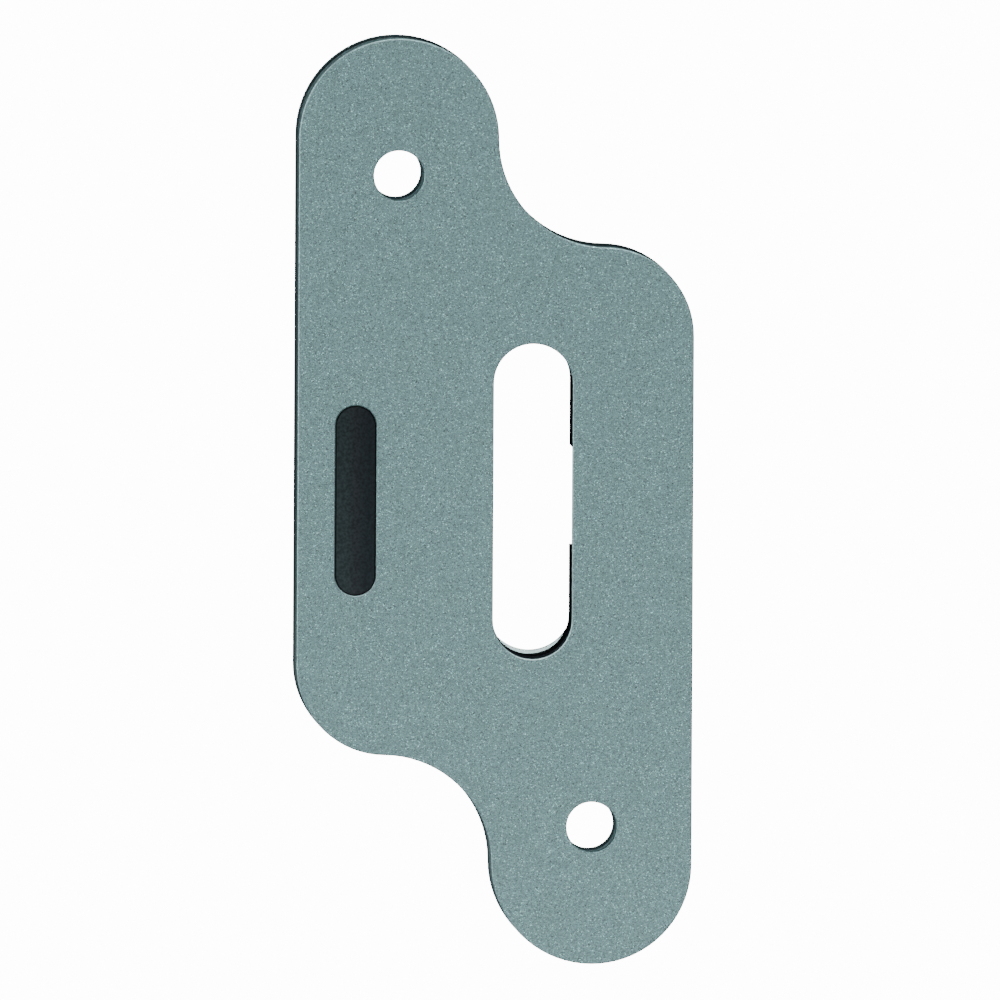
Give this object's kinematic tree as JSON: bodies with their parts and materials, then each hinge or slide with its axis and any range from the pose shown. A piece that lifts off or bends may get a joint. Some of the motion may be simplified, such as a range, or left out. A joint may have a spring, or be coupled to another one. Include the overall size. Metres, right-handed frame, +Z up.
{
  "type": "interspinous implant",
  "caption": "Interspinous implant: S-shaped side plates with toothed lobes and pin holes on a dark spacer core, with a graft window right through.",
  "frame": {"origin": "middle of the bounding box's footprint, on the surface that the far side plate lies on", "axes": "+X across the implant towards the port, +Y along its length towards the left-hand lobe, +Z up through its thickness towards the near side plate"},
  "size_m": [0.0198, 0.046, 0.012],
  "materials": {
    "blasted_titanium": "fine grit-blasted titanium, matt, slightly green-grey",
    "dark_polymer": "smooth dark carbon-filled polymer"
  },
  "bodies": {
    "root": {"near_side_plate": "blasted_titanium", "far_side_plate": "blasted_titanium", "spacer_core": "dark_polymer"}
  },
  "joints": []
}
